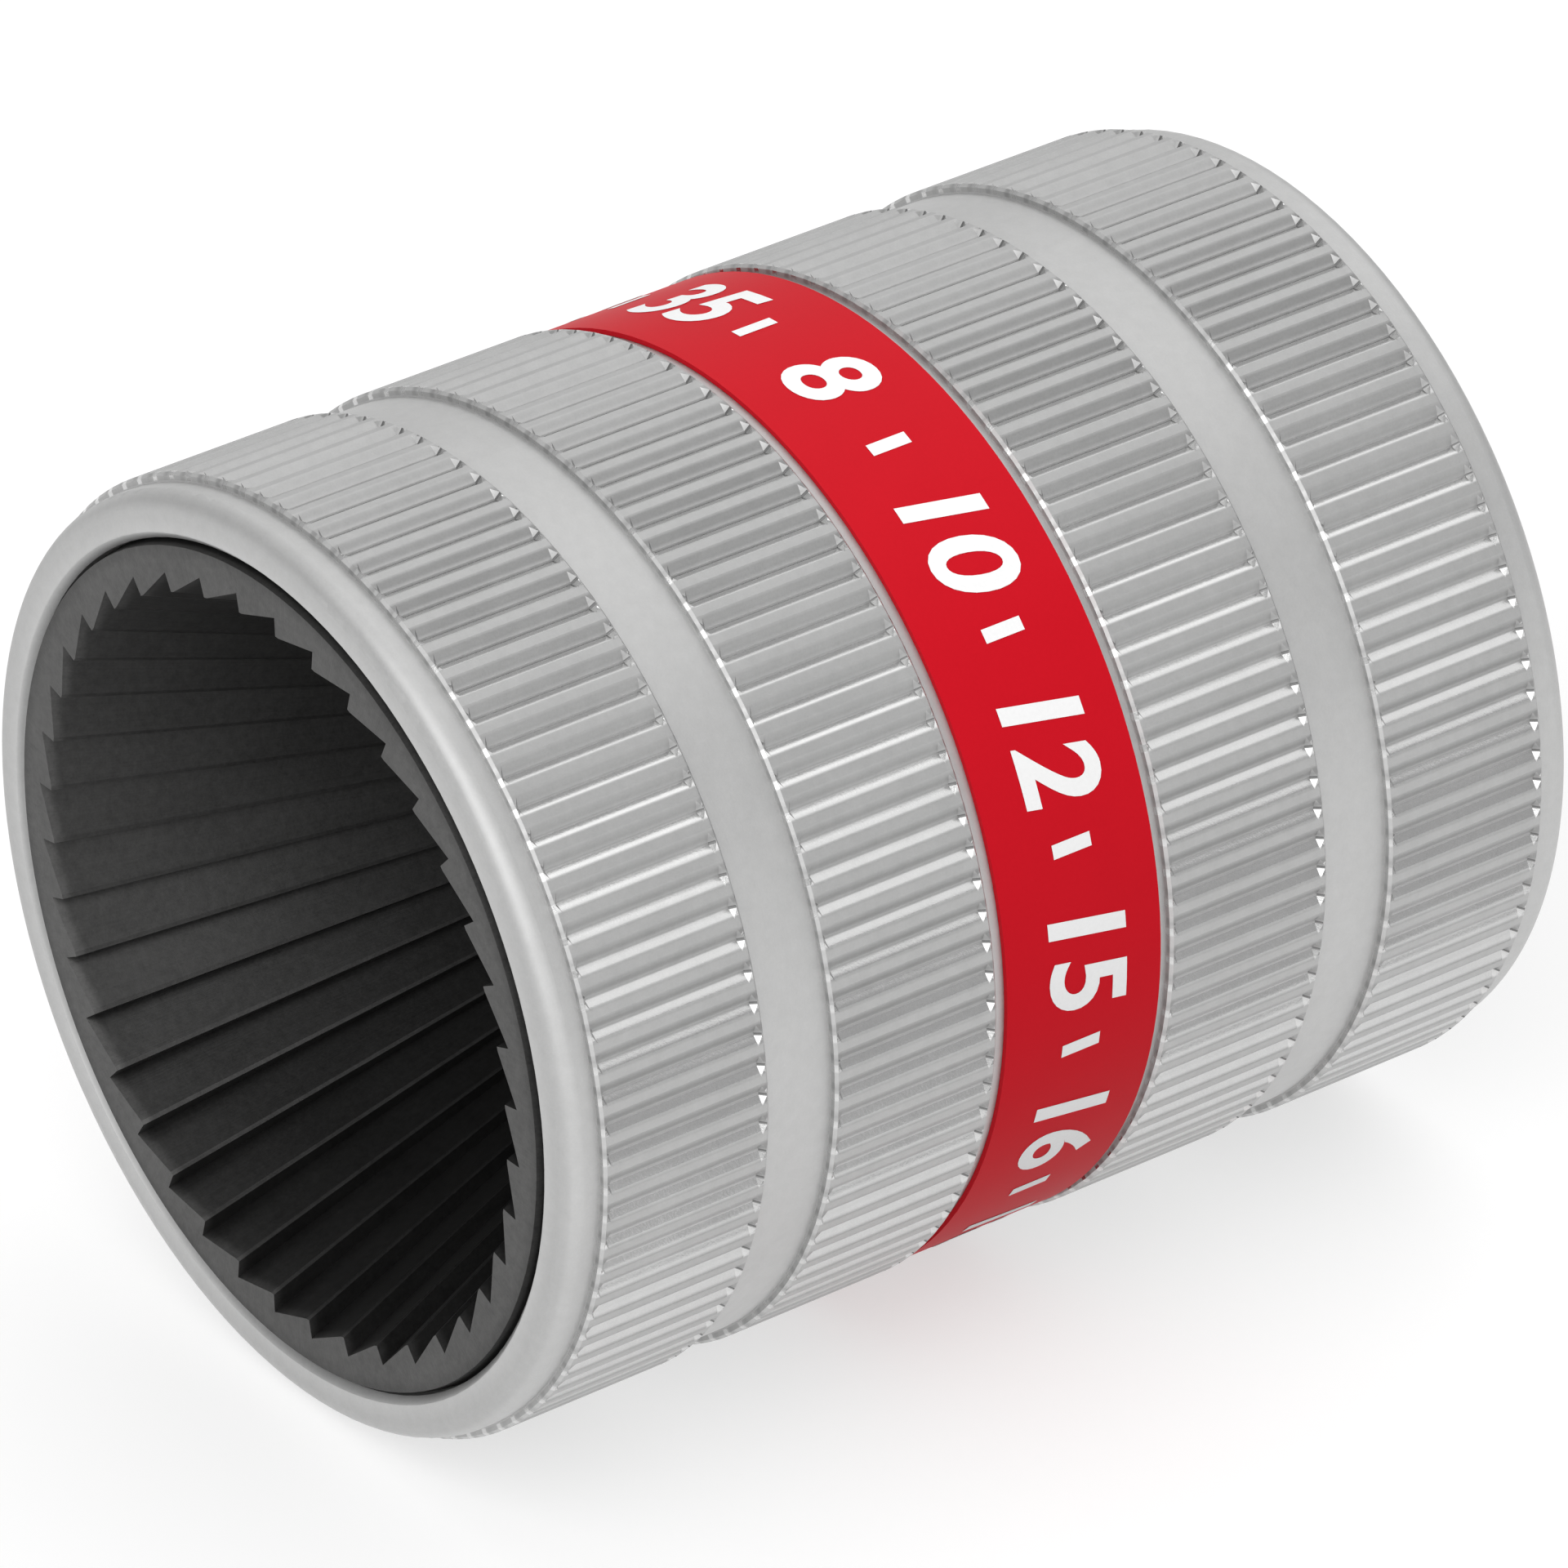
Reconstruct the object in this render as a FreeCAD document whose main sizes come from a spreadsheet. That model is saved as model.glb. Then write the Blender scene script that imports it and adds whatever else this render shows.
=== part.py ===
import FreeCAD, Part
import os

import Sketcher

# A two-ended hand tool that deburrs cut pipe: a ribbed aluminium sleeve holds a hollow toothed
# cone for the outside edge at its front, and a solid toothed cone for the inside edge at its rear.
# The tool lies on its side: its axis runs along Y, the hollow cone opens towards -Y, +Z is up,
# and the origin is under the middle of the sleeve. Each body is drawn about its own axis, with
# its front at zero, and is then lifted and centred by its placement.

doc = FreeCAD.newDocument("PipeDeburrer")
doc.addObject("Spreadsheet::Sheet", "Sizes")

# Lengths in millimetres, angles in degrees, and counts
SIZES = [
    # hollow cone of the outer cutter
    ("mouth_diameter", 37.0, "tooth tips at the mouth, wider than a 35 mm pipe"),
    ("cone_depth", 37.3, "from the mouth to the floor of the hollow cone"),
    ("ring_width", 2.5, "tooth tips at the mouth to the edge of the flange"),
    ("outer_tooth_depth", 0.95, "at the mouth"),
    ("outer_tooth_count", 40, "saw teeth round the hollow cone"),
    ("outer_tooth_turn", 2.35, "angle from the top to the first tooth"),
    ("outer_tooth_twist", 4.5, "how far a tooth turns from mouth to floor"),
    ("tooth_land_angle", 0.6, "flat tip of each tooth"),
    ("tooth_rake_angle", 0.35, "lean of each cutting face"),
    # outside of the outer cutter
    ("flange_length", 9.0, "ring that fits the sleeve's front bore"),
    ("flange_lead", 0.22, "how far the flange's front edge is turned down"),
    ("flange_lead_length", 1.0, "taper behind the flange's front edge"),
    ("barrel_wall", 1.8, "steel behind the tooth roots at the rear of the flange"),
    ("barrel_setback", 1.2, "floor of the hollow cone to the cutter's rear shoulder"),
    ("boss_wall", 5.3, "steel round the screw head"),
    ("floor_thickness", 1.8, "steel under the washer"),
    # aluminium sleeve
    ("fit_gap", 0.05, "radial clearance of the fitted diameters"),
    ("barrel_gap", 0.25, "radial clearance round the barrel"),
    ("shoulder_gap", 0.3, "axial clearance behind the flange"),
    ("rim_wall", 2.25, "front bore to the plain collar"),
    ("rear_wall", 3.3, "rear bore to the plain collar"),
    ("web_thickness", 2.5, "inner web that both cutters clamp"),
    ("bore_bevel", 0.35, "edge of both bores"),
    ("rim_round", 0.9, "outer edge of both ends"),
    ("front_collar", 1.7, "plain collar at the front"),
    ("rear_collar", 2.1, "plain collar at the rear"),
    ("groove_width", 3.8, "plain groove between two ribbed zones"),
    ("band_seat", 10.2, "plain seat of the colour band"),
    ("rib_height", 0.45, "rib crests above the plain lands"),
    ("rib_edge", 0.14, "chamfer at each end of a zone"),
    ("flute_count", 96, "flutes round each zone"),
    ("flute_width", 1.04, "at the crests"),
    ("flute_bottom", 0.14, "flat along the bottom"),
    ("flute_depth", 0.31, "below the crests"),
    ("flute_end_run", 0.25, "slope at each end of a flute"),
    ("flute_margin", 0.16, "end of a zone to the end of its flutes"),
    ("flute_turn", 0.58, "angle from the top to the first flute"),
    # colour band
    ("band_front_land", 0.7, "plain land before the band"),
    ("band_rear_land", 0.5, "plain land behind the band"),
    ("band_thickness", 0.25, "film with its printed top coat"),
    ("band_glue", 0.02, "glue under the film"),
    ("band_seam_angle", 0.8, "open seam underneath"),
    # inner cutter
    ("pipe_gap", 3.0, "room for the pipe's wall round the base"),
    ("inner_base", 3.2, "plain disc under the inner cone"),
    ("inner_cone", 13.8, "from its base to its blunt tip"),
    ("tip_diameter", 4.8, "blunt tip of the inner cone"),
    ("tip_recess", 0.8, "rear end of the sleeve to the tip"),
    ("inner_tooth_depth", 0.9, "at the base"),
    ("inner_tooth_count", 36, "saw teeth round the inner cone"),
    ("boss_end_gap", 0.1, "end of the boss to the bottom of its recess"),
    # clamp screw, washer and dowel pins
    ("screw_diameter", 4.0, "metric screw"),
    ("screw_length", 10.0, "under the head"),
    ("head_diameter", 7.0, "socket head"),
    ("head_height", 4.0, "socket head"),
    ("head_gap", 0.2, "radial clearance round the head"),
    ("cone_floor_step", 0.1, "head bore to the tooth tips at the floor"),
    ("socket_width", 3.0, "across the flats"),
    ("socket_depth", 2.0, "hexagon socket"),
    ("screw_hole_gap", 0.2, "radial clearance of the screw's hole"),
    ("thread_gap", 0.02, "radial clearance of the thread"),
    ("thread_spare", 0.8, "tapped hole beyond the screw"),
    ("screw_chamfer", 0.4, "point of the screw and edge of its head"),
    ("washer_thickness", 1.0, "split spring washer"),
    ("washer_gap", 0.1, "radial clearance of the washer"),
    ("washer_split_angle", 20.0, "open split"),
    ("pin_diameter", 2.5, "dowel pin"),
    ("pin_length", 8.0, "dowel pin"),
    ("pin_front_grip", 2.9, "depth in the outer cutter"),
    ("pin_chamfer", 0.3, "both ends of a pin"),
    ("pin_gap", 0.02, "radial clearance of the pins"),
    ("pin_end_gap", 0.2, "clearance beyond both ends of a pin"),
    ("pin_count", 2, "dowel pins"),
]

for row, (alias, value, note) in enumerate(SIZES, start=1):
    doc.Sizes.set(f"A{row}", alias)
    doc.Sizes.set(f"B{row}", str(value))
    doc.Sizes.setAlias(f"B{row}", alias)
    doc.Sizes.set(f"C{row}", note)
doc.recompute()

# A cut runs past the surface that it opens by this share of its depth
OVERRUN_SHARE = 0.4

# Radii from the axis outwards, as expressions of the sheet's sizes
head_bore = "(Sizes.head_diameter / 2 + Sizes.head_gap)"
cone_floor = f"({head_bore} + Sizes.cone_floor_step)"
mouth = "(Sizes.mouth_diameter / 2)"
flange = f"({mouth} + Sizes.ring_width)"
front_bore = f"({flange} + Sizes.fit_gap)"
land = f"({front_bore} + Sizes.rim_wall)"
crest = f"({land} + Sizes.rib_height)"
rear_bore = f"({land} - Sizes.rear_wall)"
inner_base = f"({rear_bore} - Sizes.pipe_gap)"
inner_tip = "(Sizes.tip_diameter / 2)"
boss = f"({head_bore} + Sizes.boss_wall)"
boss_bore = f"({boss} + Sizes.fit_gap)"
screw_hole = "(Sizes.screw_diameter / 2 + Sizes.screw_hole_gap)"
thread_hole = "(Sizes.screw_diameter / 2 + Sizes.thread_gap)"


def outer_tip_at(place):
    """Radius of the hollow cone's tooth tips at a depth."""
    return f"({mouth} + ({cone_floor} - {mouth}) * ({place}) / Sizes.cone_depth)"


def outer_root_at(place):
    """Radius of the hollow cone's tooth roots at a depth."""
    return f"({outer_tip_at(place)} * (1 + Sizes.outer_tooth_depth / {mouth}))"


barrel = f"({outer_root_at('Sizes.flange_length')} + Sizes.barrel_wall)"
barrel_bore = f"({barrel} + Sizes.barrel_gap)"
pin_circle = f"(({boss} + {barrel}) / 2)"

# Places along the axis from the front end backwards
shoulder = "(Sizes.flange_length + Sizes.shoulder_gap)"
web_front = "(Sizes.cone_depth + Sizes.barrel_setback)"
web_rear = f"({web_front} + Sizes.web_thickness)"
head_end = "(Sizes.cone_depth + Sizes.head_height)"
washer_end = f"({head_end} + Sizes.washer_thickness)"
boss_end = f"({washer_end} + Sizes.floor_thickness)"
recess_end = f"({boss_end} + Sizes.boss_end_gap)"
screw_end = f"({head_end} + Sizes.screw_length)"
thread_end = f"({screw_end} + Sizes.thread_spare)"
pin_front = f"({web_front} - Sizes.pin_front_grip)"
pin_rear = f"({pin_front} + Sizes.pin_length)"
cone_start = f"({web_rear} + Sizes.inner_base)"
tip_end = f"({cone_start} + Sizes.inner_cone)"
sleeve_end = f"({tip_end} + Sizes.tip_recess)"

# Ribbed zones share what the plain parts leave of the sleeve's length
spacings = ("Sizes.groove_width", "Sizes.band_seat", "Sizes.groove_width")
plain_parts = " + ".join(("Sizes.front_collar", *spacings, "Sizes.rear_collar"))
rib_zone = f"(({sleeve_end} - ({plain_parts})) / {len(spacings) + 1})"
zone_starts = ["Sizes.front_collar"]
for spacing in spacings:
    zone_starts.append(f"({zone_starts[-1]} + {rib_zone} + {spacing})")
band_start = f"({zone_starts[1]} + {rib_zone} + Sizes.band_front_land)"
band_end = f"({zone_starts[2]} - Sizes.band_rear_land)"


def number(expression):
    """Value of an expression of the sheet's sizes."""
    return float(doc.Sizes.evalExpression(expression))


def polar(radius, angle):
    """Point at a radius and at an angle from the top towards +X."""
    return f"({radius}) * sin({angle})", f"({radius}) * cos({angle})"


def new_body(name):
    return doc.addObject("PartDesign::Body", name)


def origin_feature(body, role):
    return next(f for f in body.Origin.OriginFeatures if f.Role == role)


def outline(body, name, points, plane="YZ_Plane", offset=None):
    """Closed outline of straight lines through points, each a pair of expressions."""
    sketch = body.newObject("Sketcher::SketchObject", name)
    sketch.AttachmentSupport = [(origin_feature(body, plane), "")]
    sketch.MapMode = "FlatFace"
    if offset is not None:
        sketch.setExpression("AttachmentOffset.Base.z", f"-({offset})")
    corners = [FreeCAD.Vector(number(across), number(up), 0) for across, up in points]
    for index, corner in enumerate(corners):
        following = corners[(index + 1) % len(corners)]
        sketch.addGeometry(Part.LineSegment(corner, following))
    for index in range(len(points)):
        following = (index + 1) % len(points)
        sketch.addConstraint(Sketcher.Constraint("Coincident", index, 2, following, 1))
    for index, (across, up) in enumerate(points):
        for kind, expression, value in (
            ("DistanceX", across, corners[index].x),
            ("DistanceY", up, corners[index].y),
        ):
            place = sketch.addConstraint(Sketcher.Constraint(kind, -1, 1, index, 1, value))
            sketch.setExpression(f"Constraints[{place}]", expression)
    return sketch


def turned(body, name, points, gap_angle=None, axis="H_Axis"):
    """Solid of revolution about the body's axis; an open angle is left underneath."""
    feature = body.newObject("PartDesign::Revolution", name)
    feature.Profile = outline(body, f"{name}_outline", points)
    feature.ReferenceAxis = (feature.Profile[0], [axis])
    feature.Angle = 360
    if gap_angle is not None:
        feature.Midplane = True
        feature.setExpression("Angle", f"360 - {gap_angle}")
    return feature


def milled(body, name, points):
    """Round cut about the outline's own first edge."""
    doc.recompute()
    feature = body.newObject("PartDesign::Groove", name)
    feature.Profile = outline(body, f"{name}_outline", points)
    feature.ReferenceAxis = (feature.Profile[0], ["Edge1"])
    feature.Angle = 360
    return feature


def hole(body, name, radius, start, end):
    """Round hole parallel to the axis, above it by the radius of the pin circle."""
    return milled(
        body,
        name,
        [
            (start, pin_circle),
            (end, pin_circle),
            (end, f"{pin_circle} - ({radius})"),
            (start, f"{pin_circle} - ({radius})"),
        ],
    )


def notch(body, name, outlines):
    """Cut with flat sides through outlines across the axis; each is (place, points)."""
    doc.recompute()
    sketches = [
        outline(body, f"{name}_outline_{index}", points, "XZ_Plane", place)
        for index, (place, points) in enumerate(outlines, start=1)
    ]
    feature = body.newObject("PartDesign::SubtractiveLoft", name)
    feature.Profile = sketches[0]
    feature.Sections = sketches[1:]
    feature.Ruled = True
    return feature


def all_round(body, feature, count):
    """Copies of a cut, evenly spaced round the axis."""
    pattern = body.newObject("PartDesign::PolarPattern", f"{feature.Name}_pattern")
    pattern.Originals = [feature]
    pattern.Axis = (origin_feature(body, "Y_Axis"), [""])
    pattern.Angle = 360
    pattern.setExpression("Occurrences", count)
    body.Tip = pattern
    return pattern


def circle_edge(feature, place, radius):
    """Name of the circular edge that lies nearest to a place and a radius."""
    misses = []
    for index, edge in enumerate(feature.Shape.Edges, start=1):
        if isinstance(edge.Curve, Part.Circle):
            off_radius = abs(edge.Curve.Radius - number(radius))
            off_place = abs(edge.Curve.Center.y - number(place))
            misses.append((off_radius + off_place, f"Edge{index}"))
    return min(misses)[1]


def copies(piece, count, step, turn="0"):
    """Linked copies of a body, each further round the axis than the last."""
    links = []
    for index in range(count):
        link = doc.addObject("App::Link", f"{piece.Name}_{index + 1}")
        link.LinkedObject = piece
        angle = f"{turn} + {index} * {step}"
        link.Placement.Rotation = FreeCAD.Rotation(FreeCAD.Vector(0, 1, 0), number(angle))
        link.setExpression(".Placement.Rotation.Angle", angle)
        links.append(link)
    return links


def set_in_place(item, label):
    """Label a finished piece and lift and centre it."""
    item.Label = label
    item.setExpression(".Placement.Base.y", f"-{sleeve_end} / 2")
    item.setExpression(".Placement.Base.z", crest)
    return item


def sleeve_core():
    """Plain turned sleeve with its stepped bore and its inner web."""
    body = new_body("sleeve_core")
    turned(
        body,
        "core_turning",
        [
            ("0", f"{front_bore} + Sizes.bore_bevel"),
            ("0", land),
            (sleeve_end, land),
            (sleeve_end, f"{rear_bore} + Sizes.bore_bevel"),
            (f"{sleeve_end} - Sizes.bore_bevel", rear_bore),
            (web_rear, rear_bore),
            (web_rear, boss_bore),
            (web_front, boss_bore),
            (web_front, barrel_bore),
            (shoulder, barrel_bore),
            (shoulder, front_bore),
            ("Sizes.bore_bevel", front_bore),
        ],
    )
    pin_hole = hole(
        body, "web_pin_hole", "Sizes.pin_diameter / 2 + Sizes.pin_gap", web_front, web_rear
    )
    holes = all_round(body, pin_hole, "Sizes.pin_count")
    doc.recompute()
    rims = body.newObject("PartDesign::Fillet", "rim_rounding")
    rims.Base = (
        holes,
        [circle_edge(holes, "0", land), circle_edge(holes, sleeve_end, land)],
    )
    rims.setExpression("Radius", "Sizes.rim_round")
    return body


def flute_outline(place, raised):
    """Outline of a flute at a place along the axis, raised from its full depth."""
    bottom = f"({crest} - Sizes.flute_depth + {raised})"
    top = f"({crest} + {OVERRUN_SHARE} * Sizes.flute_depth + {raised})"
    side = "((Sizes.flute_width - Sizes.flute_bottom) / 2)"
    half_bottom = "(Sizes.flute_bottom / 2)"
    half_top = f"(Sizes.flute_width / 2 + {OVERRUN_SHARE} * {side})"
    return place, [
        (f"-{half_bottom}", bottom),
        (f"-{half_top}", top),
        (half_top, top),
        (half_bottom, bottom),
    ]


def ribbed_zone():
    """Raised ring with closed flutes all round, drawn at the first zone."""
    body = new_body("ribbed_zone")
    start = zone_starts[0]
    end = f"({start} + {rib_zone})"
    turned(
        body,
        "zone_ring",
        [
            (start, f"{land} - Sizes.rib_height"),
            (start, f"{crest} - Sizes.rib_edge"),
            (f"{start} + Sizes.rib_edge", crest),
            (f"{end} - Sizes.rib_edge", crest),
            (end, f"{crest} - Sizes.rib_edge"),
            (end, f"{land} - Sizes.rib_height"),
        ],
    )
    overrun = f"({OVERRUN_SHARE} * Sizes.flute_end_run)"
    raised = f"((1 + {OVERRUN_SHARE}) * Sizes.flute_depth)"
    flute = notch(
        body,
        "flute",
        [
            flute_outline(f"{start} + Sizes.flute_margin - {overrun}", raised),
            flute_outline(f"{start} + Sizes.flute_margin + Sizes.flute_end_run", "0"),
            flute_outline(f"{end} - Sizes.flute_margin - Sizes.flute_end_run", "0"),
            flute_outline(f"{end} - Sizes.flute_margin + {overrun}", raised),
        ],
    )
    all_round(body, flute, "Sizes.flute_count")
    return body


def grip_sleeve():
    """Aluminium sleeve: the turned core and four ribbed zones in one piece."""
    core = sleeve_core()
    zones = copies(ribbed_zone(), len(zone_starts), "0", "Sizes.flute_turn")
    for zone, start in zip(zones, zone_starts):
        zone.setExpression(".Placement.Base.y", f"{start} - {zone_starts[0]}")
    sleeve = doc.addObject("Part::MultiFuse", "grip_sleeve_fuse")
    sleeve.Shapes = [core] + zones
    return set_in_place(sleeve, "grip_sleeve")


def colour_band():
    """Thin printed film wrapped round the plain seat, with its seam underneath."""
    body = new_body("band")
    inner = f"{land} + Sizes.band_glue"
    outer = f"{inner} + Sizes.band_thickness"
    turned(
        body,
        "band_film",
        [(band_start, inner), (band_start, outer), (band_end, outer), (band_end, inner)],
        "Sizes.band_seam_angle",
    )
    return set_in_place(body, "colour_band")


def outer_gap_outline(place):
    """Outline of one tooth gap of the hollow cone at a depth along the axis."""
    tip = outer_tip_at(place)
    inside = f"{tip} * (1 - {OVERRUN_SHARE} * Sizes.outer_tooth_depth / {mouth})"
    first = f"(Sizes.outer_tooth_turn + Sizes.outer_tooth_twist * ({place}) / Sizes.cone_depth)"
    following = f"({first} + 360 / Sizes.outer_tooth_count)"
    return place, [
        polar(inside, f"{first} + Sizes.tooth_land_angle"),
        polar(tip, f"{first} + Sizes.tooth_land_angle"),
        polar(outer_root_at(place), f"{following} - Sizes.tooth_rake_angle"),
        polar(inside, following),
    ]


def outer_cutter():
    """Hardened steel cutter with the hollow toothed cone, its flange, barrel and boss."""
    body = new_body("outer")
    turned(
        body,
        "outer_turning",
        [
            ("0", mouth),
            ("0", f"{flange} - Sizes.flange_lead"),
            ("Sizes.flange_lead_length", flange),
            ("Sizes.flange_length", flange),
            ("Sizes.flange_length", barrel),
            (web_front, barrel),
            (web_front, boss),
            (boss_end, boss),
            (boss_end, screw_hole),
            (washer_end, screw_hole),
            (washer_end, head_bore),
            ("Sizes.cone_depth", head_bore),
            ("Sizes.cone_depth", cone_floor),
        ],
    )
    pin_hole = hole(
        body,
        "outer_pin_hole",
        "Sizes.pin_diameter / 2 + Sizes.pin_gap",
        web_front,
        f"{pin_front} - Sizes.pin_end_gap",
    )
    all_round(body, pin_hole, "Sizes.pin_count")
    overrun = f"({OVERRUN_SHARE} * Sizes.outer_tooth_depth)"
    gap = notch(
        body,
        "outer_tooth_gap",
        [outer_gap_outline(f"-{overrun}"), outer_gap_outline("Sizes.cone_depth")],
    )
    all_round(body, gap, "Sizes.outer_tooth_count")
    return set_in_place(body, "outer_cutter")


def inner_radius_at(place):
    """Radius of the inner cone's tooth tips at a place along the axis."""
    share = f"({place} - {cone_start}) / ({tip_end} - {cone_start})"
    return f"({inner_base} + ({inner_tip} - {inner_base}) * {share})"


def inner_gap_outline(place):
    """Outline of one tooth gap of the inner cone at a place along the axis."""
    tip = inner_radius_at(place)
    outside = f"{tip} * (1 + {OVERRUN_SHARE} * Sizes.inner_tooth_depth / {inner_base})"
    root = f"{tip} * (1 - Sizes.inner_tooth_depth / {inner_base})"
    following = "(360 / Sizes.inner_tooth_count)"
    return place, [
        polar(outside, "0"),
        polar(root, "Sizes.tooth_rake_angle"),
        polar(tip, f"{following} - Sizes.tooth_land_angle"),
        polar(outside, f"{following} - Sizes.tooth_land_angle"),
    ]


def inner_cutter():
    """Hardened steel cutter with the solid toothed cone."""
    body = new_body("inner")
    turned(
        body,
        "inner_turning",
        [
            (web_rear, boss_bore),
            (web_rear, inner_base),
            (cone_start, inner_base),
            (tip_end, inner_tip),
            (tip_end, "0"),
            (thread_end, "0"),
            (thread_end, thread_hole),
            (recess_end, thread_hole),
            (recess_end, boss_bore),
        ],
    )
    pin_hole = hole(
        body,
        "inner_pin_hole",
        "Sizes.pin_diameter / 2 + Sizes.pin_gap",
        web_rear,
        f"{pin_rear} + Sizes.pin_end_gap",
    )
    all_round(body, pin_hole, "Sizes.pin_count")
    overrun = f"({OVERRUN_SHARE} * Sizes.inner_tooth_depth)"
    gap = notch(
        body,
        "inner_tooth_gap",
        [inner_gap_outline(cone_start), inner_gap_outline(f"({tip_end} + {overrun})")],
    )
    all_round(body, gap, "Sizes.inner_tooth_count")
    return set_in_place(body, "inner_cutter")


def clamp_screw():
    """Socket head screw that pulls the two cutters together over the web."""
    body = new_body("screw")
    head = "(Sizes.head_diameter / 2)"
    shank = "(Sizes.screw_diameter / 2)"
    turned(
        body,
        "screw_turning",
        [
            ("Sizes.cone_depth", "0"),
            ("Sizes.cone_depth", f"{head} - Sizes.screw_chamfer"),
            ("Sizes.cone_depth + Sizes.screw_chamfer", head),
            (head_end, head),
            (head_end, shank),
            (f"{screw_end} - Sizes.screw_chamfer", shank),
            (screw_end, f"{shank} - Sizes.screw_chamfer"),
            (screw_end, "0"),
        ],
    )
    doc.recompute()
    corner = "(Sizes.socket_width / 2 / cos(30))"
    hexagon = [polar(corner, str(60 * side)) for side in range(6)]
    socket = body.newObject("PartDesign::Pocket", "hex_socket")
    socket.Profile = outline(body, "hex_outline", hexagon, "XZ_Plane", "Sizes.cone_depth")
    socket.setExpression("Length", "Sizes.socket_depth")
    return set_in_place(body, "clamp_screw")


def lock_washer():
    """Split spring washer under the screw's head."""
    body = new_body("washer")
    bore = "(Sizes.screw_diameter / 2 + Sizes.washer_gap)"
    edge = "(Sizes.head_diameter / 2)"
    turned(
        body,
        "washer_ring",
        [(head_end, bore), (head_end, edge), (washer_end, edge), (washer_end, bore)],
        "Sizes.washer_split_angle",
    )
    return set_in_place(body, "lock_washer")


def dowel_pins():
    """Pins that keep both cutters from turning in the web."""
    body = new_body("pin")
    reach = f"({pin_circle} + Sizes.pin_diameter / 2)"
    turned(
        body,
        "pin_turning",
        [
            (pin_front, pin_circle),
            (pin_rear, pin_circle),
            (pin_rear, f"{reach} - Sizes.pin_chamfer"),
            (f"{pin_rear} - Sizes.pin_chamfer", reach),
            (f"{pin_front} + Sizes.pin_chamfer", reach),
            (pin_front, f"{reach} - Sizes.pin_chamfer"),
        ],
        axis="Edge1",
    )
    pins = doc.addObject("Part::Compound", "pin_group")
    pins.Links = copies(body, int(number("Sizes.pin_count")), "360 / Sizes.pin_count")
    return set_in_place(pins, "dowel_pins")


pieces = {
    grip_sleeve(): 1,
    colour_band(): 1,
    outer_cutter(): 1,
    inner_cutter(): 1,
    clamp_screw(): 1,
    lock_washer(): 1,
    dowel_pins(): int(number("Sizes.pin_count")),
}
doc.recompute()

for item in doc.Objects:
    if "Invalid" in item.State or "Error" in item.State:
        raise RuntimeError(f"{item.Label} failed: {item.State}")
for piece, solid_count in pieces.items():
    if piece.Shape.isNull() or not piece.Shape.isValid():
        raise RuntimeError(f"{piece.Label} has no valid shape")
    if len(piece.Shape.Solids) != solid_count:
        raise RuntimeError(f"{piece.Label} has {len(piece.Shape.Solids)} solids")

os.makedirs("parts", exist_ok=True)
for piece in pieces:
    piece.Shape.exportStep(f"parts/{piece.Label}.step")
    box = piece.Shape.BoundBox
    print(f"{piece.Label}: {piece.Shape.Volume:.1f} mm3, y {box.YMin:.2f} to {box.YMax:.2f}")
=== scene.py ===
import math

import bpy
from mathutils import Matrix, Vector


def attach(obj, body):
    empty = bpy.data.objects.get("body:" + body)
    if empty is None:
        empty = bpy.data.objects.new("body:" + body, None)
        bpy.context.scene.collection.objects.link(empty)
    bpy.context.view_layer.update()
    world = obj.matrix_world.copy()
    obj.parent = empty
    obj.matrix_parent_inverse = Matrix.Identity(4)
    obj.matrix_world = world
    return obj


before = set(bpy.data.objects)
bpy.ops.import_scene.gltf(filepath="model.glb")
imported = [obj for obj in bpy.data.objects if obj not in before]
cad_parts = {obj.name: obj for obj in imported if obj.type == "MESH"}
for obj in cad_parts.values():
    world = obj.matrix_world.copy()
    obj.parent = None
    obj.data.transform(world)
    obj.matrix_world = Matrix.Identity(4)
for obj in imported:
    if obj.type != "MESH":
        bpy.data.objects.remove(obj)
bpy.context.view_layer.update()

# Sizes of the tool, in metres and radians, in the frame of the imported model
AXIS_HEIGHT = 0.02375
FRONT_END = -0.0294
LAND_RADIUS = 0.0233
CREST_RADIUS = 0.02375
BAND_RADIUS = 0.02357
RING_RADIUS = 0.0210
RING_EDGE = 0.0010
RIM_RADII = (0.0213, 0.0224)
RIM_FACE_DEPTHS = (0.0001, 0.0004)
BEVEL_DEPTHS = (0.0005, 0.0008)
BEVEL_EDGES = (-0.0001, 0.0002)
STEEL_FACE_DEPTHS = (0.0001, 0.0006)
RIB_FOOT = (0.00005, 0.00010)
FLUTE_STEP = math.radians(3.75)
FLUTE_TURN = math.radians(0.36)
FLUTE_DEPTH = 0.00035

# Places across one flute, as shares of its step from its bottom
# The glossier flank of each flute, which is also painted lighter as a highlight
BURNISHED_HIGHLIT_SHARES = (0.03, 0.10, 0.28, 0.36)
# The other flank of each flute, which is painted darker as shade
SHADED_FLANK_SHARES = (-0.34, -0.24, -0.10, 0.0)
CREST_SHARES = (0.08, 0.26)
STRAIGHT_SHARE = 0.36
ROUNDED_SHARE = 0.34

# How far a face turns to the front, as the Y of its normal: chamfers of the zones, end walls of
# the flutes, and faces that run along the tool
CHAMFER_FACING = (-0.45, -0.65, -0.8, -0.9)
WALL_FACING = (-0.73, -0.76, -0.86, -0.92)
SIDE_FACING = (0.2, 0.3)


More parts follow.
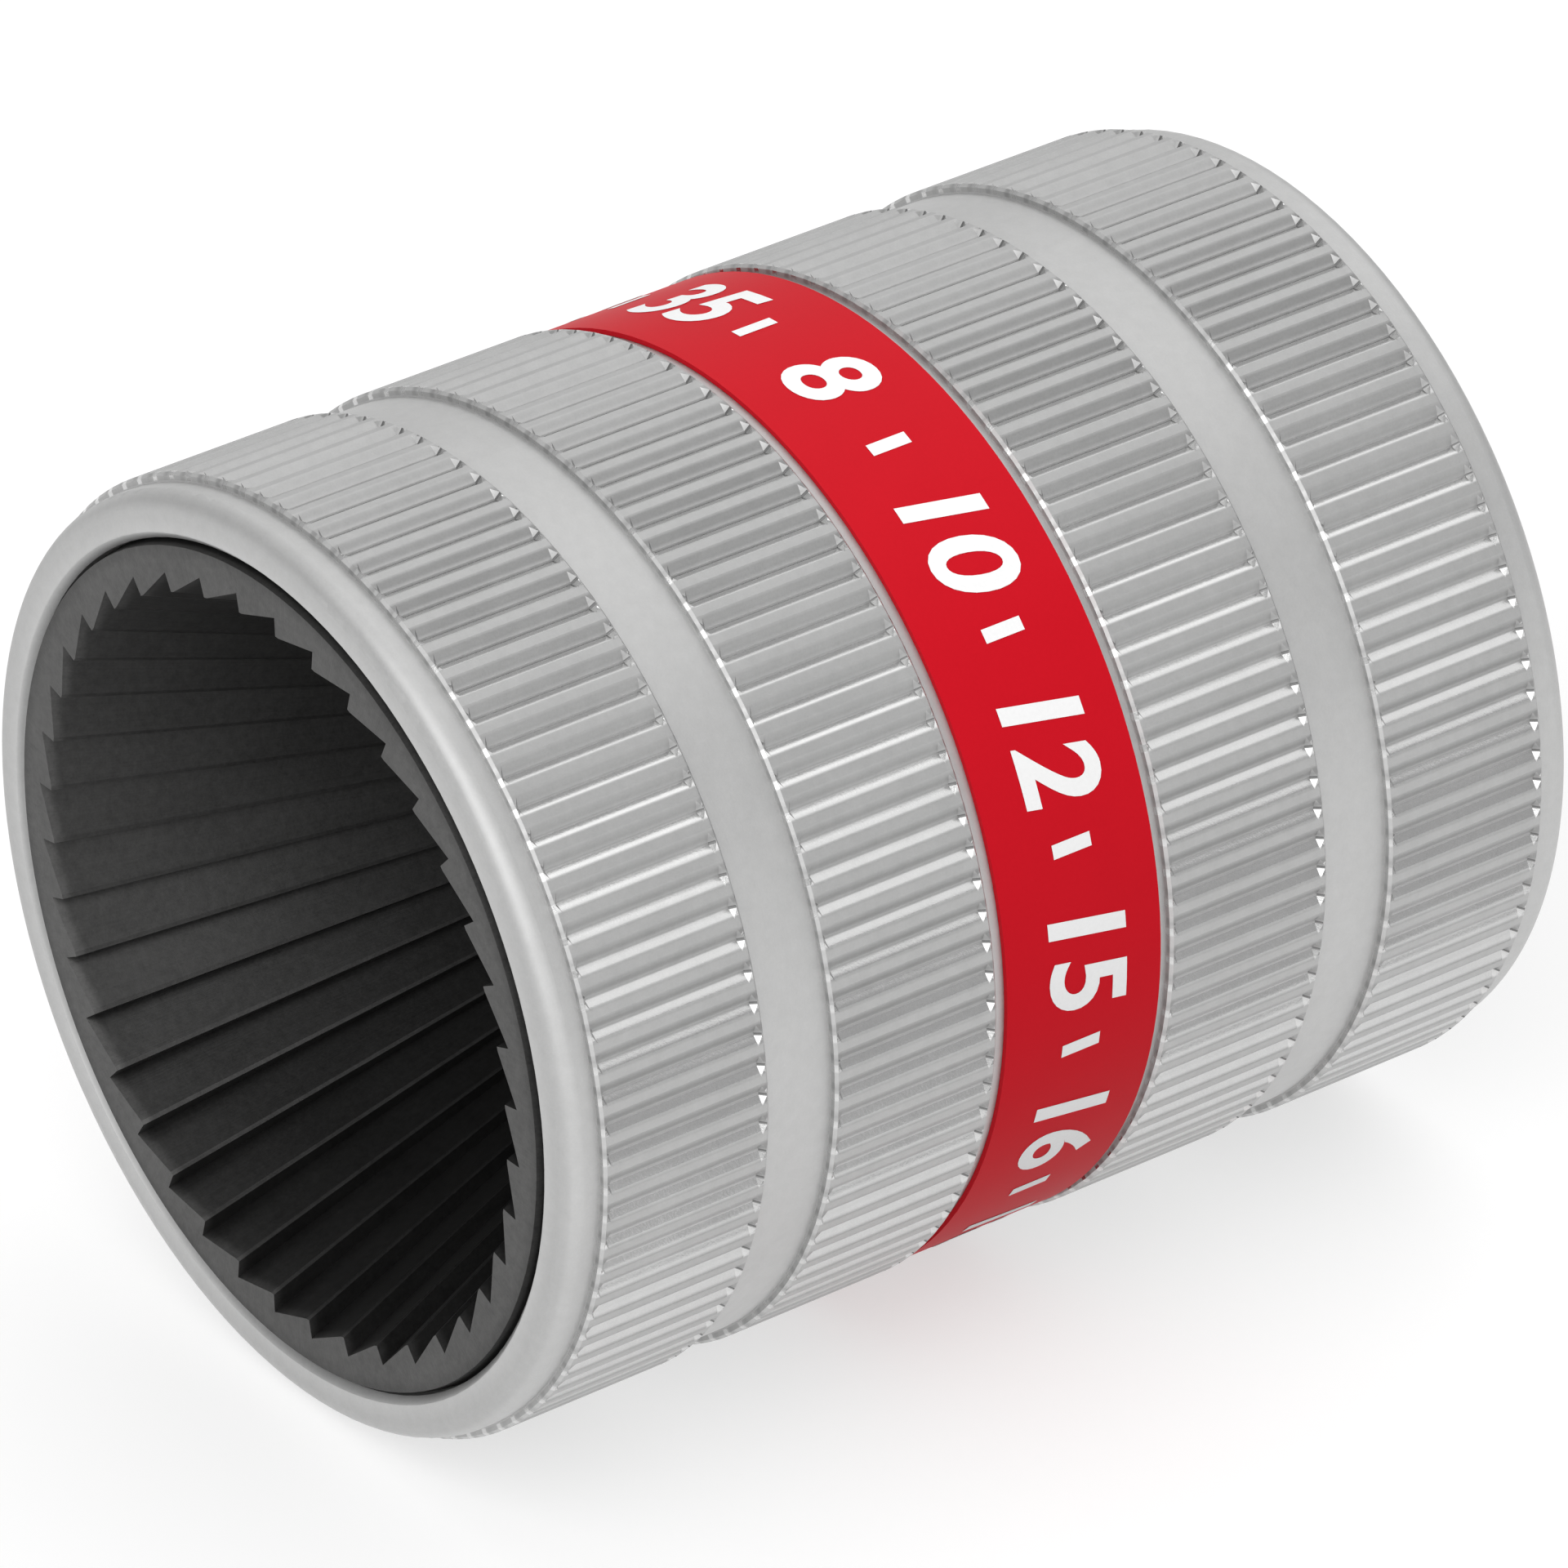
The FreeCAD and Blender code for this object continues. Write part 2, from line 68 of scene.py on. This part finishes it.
class Wire:
    """An output of a shader node; arithmetic on it adds Math nodes."""

    def __init__(self, finish, socket):
        self.finish = finish
        self.socket = socket

    def maths(self, operation, *values):
        inputs = dict(enumerate(values))
        return self.finish.node("ShaderNodeMath", {"operation": operation}, inputs)

    def __add__(self, other):
        return self.maths("ADD", self, other)

    def __sub__(self, other):
        return self.maths("SUBTRACT", self, other)

    def __rsub__(self, other):
        return self.maths("SUBTRACT", other, self)

    def __mul__(self, other):
        return self.maths("MULTIPLY", self, other)

    def __truediv__(self, other):
        return self.maths("DIVIDE", self, other)

    def __pow__(self, other):
        return self.maths("POWER", self, other)

    def part(self):
        """What is left above the last whole number."""
        return self.maths("FRACT", self)

    def size(self):
        return self.maths("ABSOLUTE", self)

    def or_more(self, other):
        return self.maths("MAXIMUM", self, other)

    __radd__ = __add__
    __rmul__ = __mul__


class Finish:
    """A material under way, with the piece's own coordinates."""

    def __init__(self, name, **constants):
        self.material = bpy.data.materials.new(name)
        self.material.use_nodes = True
        self.tree = self.material.node_tree
        self.shader = self.tree.nodes["Principled BSDF"]
        for socket, value in constants.items():
            self.shader.inputs[socket.replace("_", " ")].default_value = value
        self.place = self.node("ShaderNodeTexCoord", output="Object")
        x, along, z = (
            self.node("ShaderNodeSeparateXYZ", inputs={0: self.place}, output=axis)
            for axis in "XYZ"
        )
        height = z - AXIS_HEIGHT
        normal = self.node("ShaderNodeTexCoord", output="Normal")
        self.facing = self.node("ShaderNodeSeparateXYZ", inputs={0: normal}, output="Y")
        self.along = along
        self.radius = (x * x + height * height) ** 0.5
        self.turn = self.node(
            "ShaderNodeMath", {"operation": "ARCTAN2"}, {0: x, 1: height}
        )

    def node(self, kind, settings=None, inputs=None, output=0):
        """A node of any kind, with its settings first and then its sockets' values or links."""
        node = self.tree.nodes.new(kind)
        for name, value in (settings or {}).items():
            setattr(node, name, value)
        for name, value in (inputs or {}).items():
            if isinstance(value, Wire):
                self.tree.links.new(value.socket, node.inputs[name])
            else:
                node.inputs[name].default_value = value
        return Wire(self, node.outputs[output])

    def fade(self, value, start, end, shape="SMOOTHSTEP"):
        """Step of a value from zero at its start to one at its end, smooth or straight."""
        return self.node(
            "ShaderNodeMapRange", {"interpolation_type": shape}, {0: value, 1: start, 2: end}
        )

    def within(self, value, places):
        """One between the two inner places of four, and fading to zero at the outer two."""
        return self.fade(value, places[0], places[1]) * self.fade(value, places[3], places[2])

    def near_front(self, depths):
        """One at the tool's front end, and fading to zero between two depths behind it."""
        return self.fade(self.along, FRONT_END + depths[1], FRONT_END + depths[0])

    def noise(self, scale, detail=2.0, vector=None, roughness=0.5):
        return self.node(
            "ShaderNodeTexNoise",
            inputs={
                "Vector": vector or self.place,
                "Scale": scale,
                "Detail": detail,
                "Roughness": roughness,
            },
        )

    def point(self, x, y, z):
        return self.node("ShaderNodeCombineXYZ", inputs={0: x, 1: y, 2: z})

    def blend(self, share, first, second):
        """Mix of two colours by a share from zero to one."""
        return self.node(
            "ShaderNodeMix",
            {"data_type": "RGBA"},
            {0: share, 6: first, 7: second},
            output=2,
        )

    def bump(self, height, distance, strength=1.0, under=None):
        inputs = {"Height": height, "Distance": distance, "Strength": strength}
        if under is not None:
            inputs["Normal"] = under
        return self.node("ShaderNodeBump", inputs=inputs)

    def wire(self, socket, value):
        self.tree.links.new(value.socket, self.shader.inputs[socket])


def grey(level):
    return (level, level, level, 1.0)


def satin_aluminium():
    """Satin sleeve: matt grain, faint turned lines, and rolled flutes with one glossier flank;
    painted highlights on that flank and on the zones' front chamfers, painted shade on the
    other flank, on the flutes' end walls and in the gap by the cutter.
    """
    finish = Finish("satin_aluminium", Metallic=1.0)
    grain = finish.noise(9000.0, 2.0, roughness=0.7)
    mottle = finish.noise(1500.0, 2.0, roughness=0.6)
    cloud = finish.noise(200.0, 3.0)
    lines = finish.noise(
        1.0,
        2.0,
        vector=finish.point(finish.along * 7000.0, finish.turn * 1.5, finish.radius * 7000.0),
        roughness=0.6,
    )
    ribbed = finish.fade(finish.radius, LAND_RADIUS + RIB_FOOT[0], LAND_RADIUS + RIB_FOOT[1])
    across = ((finish.turn - FLUTE_TURN) / FLUTE_STEP + 0.5).part() - 0.5
    off = across.size()
    crest = finish.fade(off, *CREST_SHARES)
    burnished_highlit_flank = finish.within(across, BURNISHED_HIGHLIT_SHARES) * ribbed
    shaded_flank = finish.within(across, SHADED_FLANK_SHARES) * ribbed
    # painted highlight on the zones' front chamfers, strongest on the crests
    chamfer_highlight = finish.within(finish.facing, CHAMFER_FACING) * ribbed * (0.25 + crest * 0.75)
    flute_end_shade = finish.within(finish.facing, WALL_FACING) * ribbed
    rim = finish.fade(finish.radius, *RIM_RADII) * finish.near_front(RIM_FACE_DEPTHS)
    inner, outer = (RIM_RADII[0] + edge for edge in BEVEL_EDGES)
    # painted shade in the gap between the sleeve's bore bevel and the cutter
    bevel_gap_shade = finish.fade(finish.radius, outer, inner) * finish.near_front(BEVEL_DEPTHS)
    tone = (
        0.56
        + (cloud - 0.5) * 0.05
        + (mottle - 0.5) * 0.06
        + (grain - 0.5) * 0.08
        - rim * 0.05
        # painted shade: the bevel by the cutter is toned darker
        - bevel_gap_shade * 0.16
        - ribbed * 0.07
        # painted highlight: the glossier flank of every flute is toned lighter
        + burnished_highlit_flank * 0.09
        # painted shade: the other flank of every flute is toned darker
        - shaded_flank * 0.08
        # painted highlight: the zones' front chamfers are toned lighter
        + chamfer_highlight * 0.08
        # painted shade: the flutes' end walls that face the front are toned much darker
        - flute_end_shade * 0.30
    )
    colour = finish.node("ShaderNodeCombineColor", inputs={0: tone, 1: tone, 2: tone * 0.995})
    finish.wire("Base Color", colour)
    rough = 0.60 + (grain - 0.5) * 0.10 + (cloud - 0.5) * 0.06 - burnished_highlit_flank * 0.37 - shaded_flank * 0.16
    finish.wire("Roughness", rough)
    side = finish.fade(finish.facing.size(), SIDE_FACING[1], SIDE_FACING[0]) * ribbed
    straight = finish.fade(off, STRAIGHT_SHARE, 0.0, shape="LINEAR")
    hollow = (straight * 0.75 + finish.fade(off, ROUNDED_SHARE, 0.0) * 0.25) * FLUTE_DEPTH
    rounded = (CREST_RADIUS - hollow - finish.radius) * side
    fine = finish.bump(grain * 0.6 + lines * 0.4, 0.000012, 0.6)
    finish.wire("Normal", finish.bump(rounded, 1.0, 1.0, under=fine))
    return finish.material


def dark_cutter_steel():
    """Hardened and blackened cutter: mottled, with turning marks and darker inside its cone."""
    finish = Finish("dark_cutter_steel", Metallic=0.85)
    grain = finish.noise(7000.0, 2.0, roughness=0.7)
    mottle = finish.noise(2200.0, 2.0, roughness=0.6)
    cloud = finish.noise(260.0, 3.0)
    streaks = finish.noise(
        1.0,
        3.0,
        vector=finish.point(finish.turn * 260.0, finish.along * 90.0, 0.0),
        roughness=0.65,
    )
    front = finish.near_front(STEEL_FACE_DEPTHS)
    # painted shade: the ring's face is toned darker towards its outer edge, by the gap next to
    # the sleeve
    edge = finish.fade(finish.radius, RING_RADIUS - RING_EDGE, RING_RADIUS) * front
    level = (0.047 + front * 0.038) * (1.0 - edge * 0.35)
    tone = level * (0.10 + cloud * 0.35 + grain * 0.50 + mottle * 0.60 + streaks * 0.35)
    colour = finish.node(
        "ShaderNodeCombineColor", inputs={0: tone * 1.01, 1: tone, 2: tone * 0.985}
    )
    finish.wire("Base Color", colour)
    finish.wire("Roughness", 0.44 + (grain - 0.5) * 0.12 + (streaks - 0.5) * 0.10)
    finish.wire("Normal", finish.bump(grain * 0.5 + streaks * 0.5, 0.000016, 0.6))
    return finish.material


def red_film():
    """Matt printed film."""
    finish = Finish("red_film", Roughness=0.5, Specular_IOR_Level=0.1)
    grain = finish.noise(6000.0, 1.0)
    cloud = finish.noise(300.0, 2.0)
    colour = finish.blend(
        grain * 0.5 + cloud * 0.5, (0.54, 0.0020, 0.0105, 1.0), (0.60, 0.0034, 0.0135, 1.0)
    )
    finish.wire("Base Color", colour)
    finish.wire("Normal", finish.bump(grain, 0.000004, 0.3))
    return finish.material


def white_print():
    finish = Finish("white_print", Roughness=0.5, Specular_IOR_Level=0.1)
    grain = finish.noise(6000.0, 1.0)
    colour = finish.blend(grain, (0.86, 0.86, 0.86, 1.0), (0.92, 0.92, 0.92, 1.0))
    finish.wire("Base Color", colour)
    return finish.material


def plain_steel(name, level, roughness):
    """Steel of the screw, its washer and the pins."""
    finish = Finish(name, Metallic=1.0)
    grain = finish.noise(5000.0, 2.0)
    tone = level + (grain - 0.5) * level * 0.3
    colour = finish.node("ShaderNodeCombineColor", inputs={0: tone, 1: tone, 2: tone})
    finish.wire("Base Color", colour)
    finish.wire("Roughness", roughness + (grain - 0.5) * 0.1)
    finish.wire("Normal", finish.bump(grain, 0.00001, 0.4))
    return finish.material


def give_finish(piece, material):
    piece.data.materials.clear()
    piece.data.materials.append(material)


def select_only(piece):
    bpy.ops.object.select_all(action="DESELECT")
    piece.select_set(True)
    bpy.context.view_layer.objects.active = piece


steel = dark_cutter_steel()
give_finish(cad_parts["grip_sleeve"], satin_aluminium())
give_finish(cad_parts["outer_cutter"], steel)
give_finish(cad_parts["inner_cutter"], steel)
give_finish(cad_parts["colour_band"], red_film())
give_finish(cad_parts["clamp_screw"], plain_steel("black_oxide", 0.06, 0.4))
give_finish(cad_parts["lock_washer"], plain_steel("black_washer", 0.08, 0.45))
give_finish(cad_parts["dowel_pins"], plain_steel("ground_pins", 0.5, 0.3))


# Numbers printed round the band
NUMBERS = (8, 10, 12, 15, 16, 18, 20, 22, 25, 26, 28, 30, 32, 35)
NUMBER_HEIGHT = 0.0043
DIGIT_HEIGHT_SHARE = 0.7
DIGIT_SLANT = 0.18
STROKE_GROWTH = 0.00014
PRINT_LIFT = 0.00002
PRINT_SHIFT = -0.0001
FIRST_NUMBER_TURN = math.radians(8.0)
BAR_SIZE = (0.0007, 0.0022)
BEND_CUTS = 11
BEND_CUT_STEP = 0.0008


def wrapped(piece, middle):
    """Wrap a flat print round the band at an angle from the top, with cuts so that it bends."""
    bpy.ops.object.mode_set(mode="EDIT")
    for index in range(BEND_CUTS):
        cut = (index - (BEND_CUTS - 1) / 2) * BEND_CUT_STEP
        bpy.ops.mesh.select_all(action="SELECT")
        bpy.ops.mesh.bisect(plane_co=(cut, 0, 0), plane_no=(1, 0, 0))
    bpy.ops.object.mode_set(mode="OBJECT")
    radius = BAND_RADIUS + PRINT_LIFT
    for vertex in piece.data.vertices:
        turn = middle + vertex.co.x / radius
        vertex.co = (
            radius * math.sin(turn),
            vertex.co.y + PRINT_SHIFT,
            AXIS_HEIGHT + radius * math.cos(turn),
        )
    return piece


def flat_number(value):
    bpy.ops.object.select_all(action="DESELECT")
    bpy.ops.object.text_add()
    text = bpy.context.object
    text.data.body = str(value)
    text.data.align_x = "CENTER"
    text.data.align_y = "CENTER"
    text.data.size = NUMBER_HEIGHT / DIGIT_HEIGHT_SHARE
    text.data.offset = STROKE_GROWTH
    text.data.shear = DIGIT_SLANT
    text.data.resolution_u = 6
    select_only(text)
    bpy.ops.object.convert(target="MESH")
    return bpy.context.object


def flat_bar():
    bpy.ops.object.select_all(action="DESELECT")
    bpy.ops.mesh.primitive_plane_add(size=1.0)
    bar = bpy.context.object
    for vertex in bar.data.vertices:
        vertex.co = (vertex.co.x * BAR_SIZE[0], vertex.co.y * BAR_SIZE[1], 0)
    return bar


def printed_numbers(material):
    """White numbers and bars wrapped round the band, read as the tool is turned."""
    pieces = []
    step = 2 * math.pi / len(NUMBERS)
    for index, value in enumerate(NUMBERS):
        middle = FIRST_NUMBER_TURN + index * step
        pieces.append(wrapped(flat_number(value), middle))
        pieces.append(wrapped(flat_bar(), middle + step / 2))
    bpy.ops.object.select_all(action="DESELECT")
    for piece in pieces:
        piece.select_set(True)
    bpy.context.view_layer.objects.active = pieces[0]
    bpy.ops.object.join()
    numbers = bpy.context.object
    numbers.name = "band_numbers"
    bpy.ops.object.mode_set(mode="EDIT")
    bpy.ops.mesh.select_all(action="SELECT")
    bpy.ops.mesh.remove_doubles(threshold=1e-7)
    bpy.ops.mesh.normals_make_consistent(inside=False)
    bpy.ops.object.mode_set(mode="OBJECT")
    give_finish(numbers, material)
    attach(numbers, "root")


printed_numbers(white_print())


# Floor, light and camera: distances in metres, angles in degrees, the lens in millimetres
FLOOR_RADIUS = 4.0
FLOOR_TONE = 0.48
FLOOR_GLOW = 0.55
WORLD_LEVEL = 0.52
CAMERA_TURN = 53.26
CAMERA_LIFT = 31.69
CAMERA_LENS = 299.32
CAMERA_RIGHT = 0.023457
CAMERA_UP = 0.0086106
CAMERA_BACK = 0.605487
AIM_DEPTH = 0.00025

# Lamps: turn from -Y towards +X, lift above the floor, distance, width, and power in watts
LAMPS = {
    "overhead_lamp": (175, 62, 0.9, 0.85, 1.75),
    "front_lamp": (30, 40, 1.0, 1.0, 6.1),
    "left_lamp": (-112, 58, 0.9, 0.9, 1.15),
    "low_lamp": (-124, 26, 1.0, 0.7, 0.6),
    "side_lamp": (90, 10, 1.0, 0.8, 1.9),
}


def pale_floor():
    """Round floor that the camera, metal and glass see lit up, with the tool's shadow on it."""
    bpy.ops.object.select_all(action="DESELECT")
    bpy.ops.mesh.primitive_circle_add(vertices=96, radius=FLOOR_RADIUS, fill_type="NGON")
    floor = bpy.context.object
    floor.name = "floor"
    finish = Finish(
        "pale_floor", Base_Color=grey(FLOOR_TONE), Roughness=0.9, Specular_IOR_Level=0.1
    )
    camera, glossy, through = (
        finish.node("ShaderNodeLightPath", output=f"Is {ray} Ray")
        for ray in ("Camera", "Glossy", "Transmission")
    )
    plain = Wire(finish, finish.shader.outputs[0])
    glow = finish.node("ShaderNodeEmission", inputs={"Strength": FLOOR_GLOW})
    lit = finish.node("ShaderNodeAddShader", inputs={0: plain, 1: glow})
    seen = camera.or_more(glossy).or_more(through)
    floor_shader = finish.node("ShaderNodeMixShader", inputs={0: seen, 1: plain, 2: lit})
    finish.tree.links.new(floor_shader.socket, finish.tree.nodes["Material Output"].inputs[0])
    give_finish(floor, finish.material)


def pale_world(level):
    """White behind the tool, and a level of light all round it."""
    world = bpy.data.worlds.new("studio")
    bpy.context.scene.world = world
    world.use_nodes = True
    tree = world.node_tree
    background = tree.nodes["Background"]
    path = tree.nodes.new("ShaderNodeLightPath")
    strength = tree.nodes.new("ShaderNodeMapRange")
    strength.inputs["To Min"].default_value = level
    strength.inputs["To Max"].default_value = 1.0
    tree.links.new(path.outputs["Is Camera Ray"], strength.inputs[0])
    tree.links.new(strength.outputs[0], background.inputs["Strength"])
    background.inputs["Color"].default_value = grey(1.0)


def soft_lamp(name, turn, lift, distance, size, power):
    """Square lamp aimed at the tool; turn is from -Y towards +X, lift is above the floor."""
    a, e = math.radians(turn), math.radians(lift)
    out = Vector((math.sin(a) * math.cos(e), -math.cos(a) * math.cos(e), math.sin(e)))
    data = bpy.data.lights.new(name, "AREA")
    data.size = size
    data.energy = power
    lamp = bpy.data.objects.new(name, data)
    bpy.context.scene.collection.objects.link(lamp)
    lamp.location = Vector((0, 0, AXIS_HEIGHT)) + out * distance
    lamp.rotation_mode = "QUATERNION"
    lamp.rotation_quaternion = out.to_track_quat("Z", "Y")


def photo_camera():
    """Camera of the photograph: its place, aim and lens, from the tool's outline there."""
    turn, lift = math.radians(CAMERA_TURN), math.radians(CAMERA_LIFT)
    right = Vector((math.cos(turn), math.sin(turn), 0))
    up = Vector(
        (-math.sin(turn) * math.sin(lift), math.cos(turn) * math.sin(lift), math.cos(lift))
    )
    ahead = up.cross(right)
    mouth = Vector((0, FRONT_END + AIM_DEPTH, AXIS_HEIGHT))
    data = bpy.data.cameras.new("camera")
    data.sensor_width = 36.0
    data.lens = CAMERA_LENS
    data.clip_start, data.clip_end = 0.01, 20.0
    camera = bpy.data.objects.new("camera", data)
    bpy.context.scene.collection.objects.link(camera)
    place = mouth + right * CAMERA_RIGHT + up * CAMERA_UP - ahead * CAMERA_BACK
    turned = Matrix((right, up, -ahead)).transposed().to_4x4()
    camera.matrix_world = Matrix.Translation(place) @ turned
    bpy.context.scene.camera = camera


pale_floor()
pale_world(WORLD_LEVEL)
for name, numbers in LAMPS.items():
    soft_lamp(name, *numbers)
photo_camera()
bpy.context.scene.view_settings.view_transform = "Standard"
